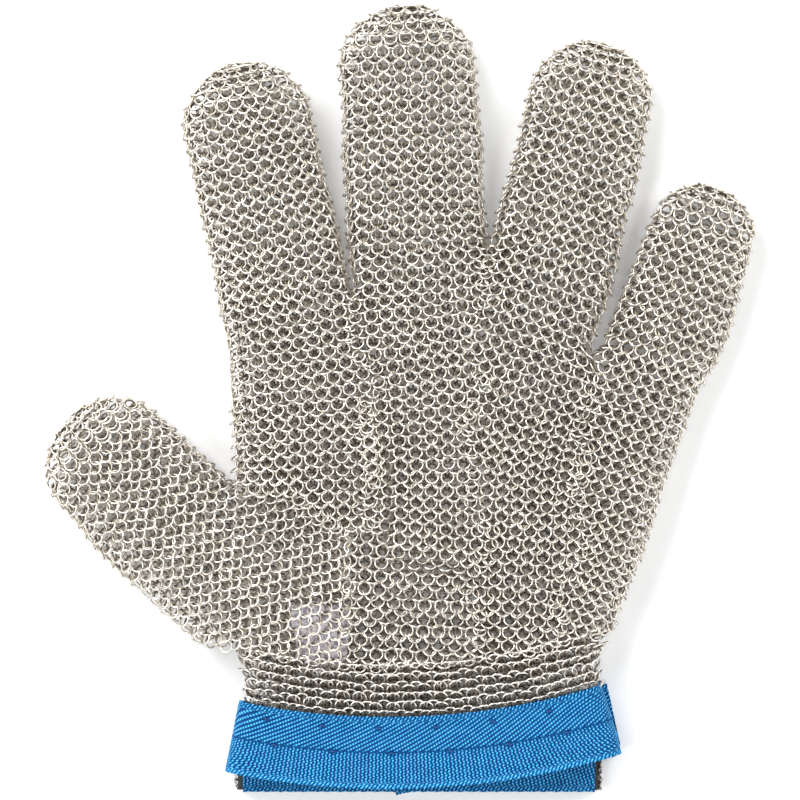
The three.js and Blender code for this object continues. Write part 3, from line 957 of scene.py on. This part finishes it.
def flat_band(name, start, way, length, width, z):
    """A straight length of webbing lying flat: start is its lower left corner, z its underside."""
    way = np.array(way)
    side = np.array([-way[1], way[0]])
    along, across = grid(np.linspace(0, length, int(length / 0.35)), np.linspace(0, width, int(width / 0.3)))
    ridge, yarn = weave(along, width - across, (-40, length + 40), width)
    height = yarn_height(ridge, yarn)
    loops = frayed(across, along, width)
    cut = np.exp(-np.minimum(along, length - along) / 0.8)
    place = np.array(start) + along[..., None] * way + loops[..., None] * side
    relief = RELIEF * (1 - height) + 0.1 * cut
    upper = np.concatenate([place, (z + WEBBING - relief)[..., None]], -1)
    lower = np.concatenate([place, (z + relief)[..., None]], -1)
    return band_mesh(name, upper, lower, {"ridge": ridge, "yarn": yarn, "shade": 0 * height}, webbing())


@functools.cache
def webbing():
    """Woven yarn with painted light and shade: lighter on its crowns and darker in its gaps."""
    n = Nodes("webbing")
    lines = n.cycle(n.attribute("ridge"), LINE_GAIN)
    crowns = n.cycle(n.attribute("yarn"), YARN_GAIN)
    height = n.math("MULTIPLY", lines, n.math("MULTIPLY_ADD", crowns, YARN_SHARE, 1 - YARN_SHARE))
    patches = n.math("MULTIPLY_ADD", n.noise(420.0, 3.0), 0.5, -0.25)
    # Painted light and shade: the colour follows the yarns' height, lighter on their crowns and darker in
    # their gaps.
    tone = n.math("ADD", n.math("ADD", height, n.attribute("shade")), patches)
    colour = n.ramp(
        tone,
        (0.0, (0.0, 0.030, 0.115)),
        (0.35, (0.0, 0.082, 0.24)),
        (0.7, (0.006, 0.19, 0.44)),
        (1.0, (0.12, 0.47, 0.80)),
    )
    bump = n.add("ShaderNodeBump", {"Height": height, "Strength": 0.5, "Distance": 0.0002})
    n.set(base_color=colour, roughness=0.7, specular_ior_level=0.12, normal=bump.outputs["Normal"])
    return n.material


def mottled(name, scale, detail, *stops, **finish):
    """A material whose colour wanders between the stops."""
    n = Nodes(name)
    n.set(base_color=n.ramp(n.noise(scale, detail), *stops), **finish)
    return n.material


@functools.cache
def thread():
    return mottled("thread", 1500.0, 2.0, (0.3, (0.0, 0.02, 0.10)), (0.7, (0.01, 0.07, 0.26)), roughness=0.6)


@functools.cache
def tape_black():
    return mottled("tape", 1400.0, 3.0, (0.3, grey(0.008)), (0.75, grey(0.045, 0.05)), roughness=0.75)


@functools.cache
def film():
    """Clear film with a pale lilac cast, mottled from dark lilac to near white: the pale mottles are painted
    highlights of its crinkles.
    """
    # Painted highlights: near-white mottles for the light caught by the crinkled film.
    stops = (0.40, (0.34, 0.32, 0.40)), (0.58, (0.98, 0.95, 1.0))
    return mottled("film", 700.0, 3.0, *stops, roughness=0.25, alpha=0.42)


def tubes(name, lines, radius, material):
    """One mesh of thin tubes with closed ends, along lines that have the same number of points."""
    sides = 4  # so that one quad closes each end
    lines = np.asarray(lines)
    count, steps = lines.shape[:2]
    way = unit(np.gradient(lines, axis=1))
    helper = np.where(np.abs(way[..., 2:]) < 0.9, (0.0, 0, 1), (1.0, 0, 0))
    first = unit(np.cross(way, helper))
    second = np.cross(way, first)
    round_tube = np.linspace(0, 2 * math.pi, sides, endpoint=False)
    thin = radius * np.where(np.isin(np.arange(steps), (0, steps - 1)), 0.35, 1.0)
    cos, sin = np.cos(round_tube)[:, None], np.sin(round_tube)[:, None]
    ring = first[:, :, None] * cos + second[:, :, None] * sin
    points = (lines[:, :, None] + ring * thin[None, :, None, None]).reshape(-1, 3)
    i, j = grid(np.arange(steps - 1), np.arange(sides))
    j2 = (j + 1) % sides
    wall = np.stack([i * sides + j, i * sides + j2, (i + 1) * sides + j2, (i + 1) * sides + j], -1)
    last = (steps - 1) * sides
    caps = np.array([[3, 2, 1, 0], [last, last + 1, last + 2, last + 3]])
    one = np.concatenate([wall.reshape(-1, 4), caps])
    piece = new_mesh_object(name, points, repeated(one, count, steps * sides))
    piece.data.materials.append(material)
    return piece


def stitches(name, row):
    """Short stitches, each pulled down into its dip."""
    t = np.linspace(-1, 1, 9)
    height = STRAP_TOP + 0.5 * WEBBING - 0.1 - 0.5 * t**4
    radius = STRAP_RADII[0] + STITCH_ROWS[row] + 0.15 * t
    lines = [on_strap(place + 0.85 * t, radius, height) for place in stitch_places(row)]
    return tubes(name, lines, 0.3, thread())


def make_strap():
    band = front_band()
    finish_piece(band, "strap_front_band", "hand")
    back = flat_band("webbing_back_band", BACK_START, (1, 0), BACK_LENGTH, WIDTH, BACK_LOW)
    finish_piece(back, "strap_back_band", "hand")
    make_flap()
    make_loop_tape()
    make_tag()
    for row, place in enumerate(("upper", "middle")):
        finish_piece(stitches(f"stitches_{place}", row), f"stitch_row_{place}", "hand")


FLAP_TURN = math.radians(12.5)
FLAP_HINGE = np.array([68.3, -106.8])
FLAP_WAY = np.array([-math.cos(FLAP_TURN), -math.sin(FLAP_TURN)])  # from its hinge to its free end
FLAP_SIDE = np.array([-math.sin(FLAP_TURN), math.cos(FLAP_TURN)])
FLAP_LENGTH, FLAP_WIDTH, FLAP_GAP = 71.0, 19.4, 0.3
HOOK_START, HOOK_LENGTH = 19.9, 52.0
HOOK_WIDTH, HOOK_MARGIN = 17.5, 1.0
HOOK_LOW, HOOK_HIGH = 1.25, 1.7


def in_flap(along, across, z):
    """Places in the flap's own directions, from the corner at its hinge."""
    place = FLAP_HINGE + along[..., None] * FLAP_WAY + across[..., None] * FLAP_SIDE
    return np.concatenate([place, z[..., None]], -1)


def make_flap():
    far = FLAP_HINGE + (FLAP_LENGTH + FLAP_GAP) * FLAP_WAY
    flap = flat_band("webbing_closure_flap", far, -FLAP_WAY, FLAP_LENGTH, FLAP_WIDTH, 0.0)
    finish_piece(flap, "closure_flap", "flap")
    along, across = grid(np.linspace(0, HOOK_LENGTH, 60), np.linspace(0, HOOK_WIDTH, 24))
    place = [HOOK_START + along, HOOK_MARGIN + across]
    low, high = (in_flap(*place, np.full_like(along, z)) for z in (HOOK_LOW, HOOK_HIGH))
    backing = band_mesh("hook_tape_band", high, low, {}, tape_black())
    finish_piece(backing, "hook_tape", "flap")
    column, row = grid(np.arange(1, HOOK_LENGTH, 1.5), np.arange(0.9, 17.0, 1.3))
    column = (column + 0.75 * (np.arange(row.shape[1]) % 2)).ravel()[:, None]
    row = row.ravel()[:, None]
    turn = np.linspace(0, 1.25 * math.pi, 6)[None]
    forward = HOOK_START + column + 0.22 * (1 - np.cos(turn))
    height = 1.65 + 0.3 * np.sin(turn) + 0 * column
    lines = in_flap(forward, HOOK_MARGIN + row + 0 * turn, height)
    hooks = tubes("hook_tape_hooks", lines, 0.09, tape_black())
    finish_piece(hooks, "hook_tape", "flap")


LOOP_LEFT, LOOP_RIGHT, LOOP_LOW, LOOP_WIDTH = -50.2, 60.9, -120.4, 20.0
LOOP_COUNT = 2400


def make_loop_tape():
    """The loop tape and its pile, which is thickest at the tape's cut ends."""
    x, y = grid(np.linspace(LOOP_LEFT, LOOP_RIGHT, 200), np.linspace(LOOP_LOW, LOOP_LOW + LOOP_WIDTH, 30))
    low, high = (np.stack([x, y, np.full_like(x, z)], -1) for z in (2.35, 2.85))
    tape = band_mesh("loop_tape_band", high, low, {}, tape_black())
    finish_piece(tape, "loop_tape", "hand")
    count = (LOOP_COUNT, 1)
    at_end = rng.random(count) < 0.4
    x = np.where(
        at_end,
        np.where(rng.random(count) < 0.3, LOOP_LEFT, LOOP_RIGHT) + rng.normal(0, 0.5, count),
        rng.uniform(LOOP_LEFT, LOOP_RIGHT, count),
    )
    y = rng.uniform(LOOP_LOW, LOOP_LOW + LOOP_WIDTH, count)
    turn = rng.uniform(0, math.pi, count)
    t = np.linspace(0, math.pi, 6)
    size = rng.uniform(0.3, 0.7, count)
    sway = rng.normal(0, 0.35, count)
    reach, rise = size * np.cos(t), size * np.sin(t)
    lines = np.stack([x + reach * np.cos(turn) + sway * rise, y + reach * np.sin(turn), 2.4 - 0.8 * rise], -1)
    loops = tubes("loop_tape_pile", lines, 0.07, tape_black())
    finish_piece(loops, "loop_tape", "hand")


def make_tag():
    """Clear film between the two sheets of mail, curled at its lower edge."""
    outline_left = [[-84, -25], [-79, -31], [-63, -34.8]]
    outline_right = [[-84, -21], [-79, -16.5], [-68, -14.8], [-63, -17]]
    rise, spread = grid(np.linspace(-84, -63, 40), np.linspace(0, 1, 36))
    left, right = on_line(outline_left, rise), on_line(outline_right, rise)
    x = left + (right - left) * spread
    z = 12.55 + 0.35 * np.sin(x / 2.7) * np.sin(rise / 3.1) + 0.5 * smooth((-76 - rise) / 8)
    high, low = (np.stack([x, rise, z + lift], -1) for lift in (0.1, -0.1))
    tag = band_mesh("film_tag", high, low, {}, film())
    finish_piece(tag, "size_tag", "hand")


make_camera()
make_floor()
make_backdrop()
make_light()
make_mail()
make_strap()
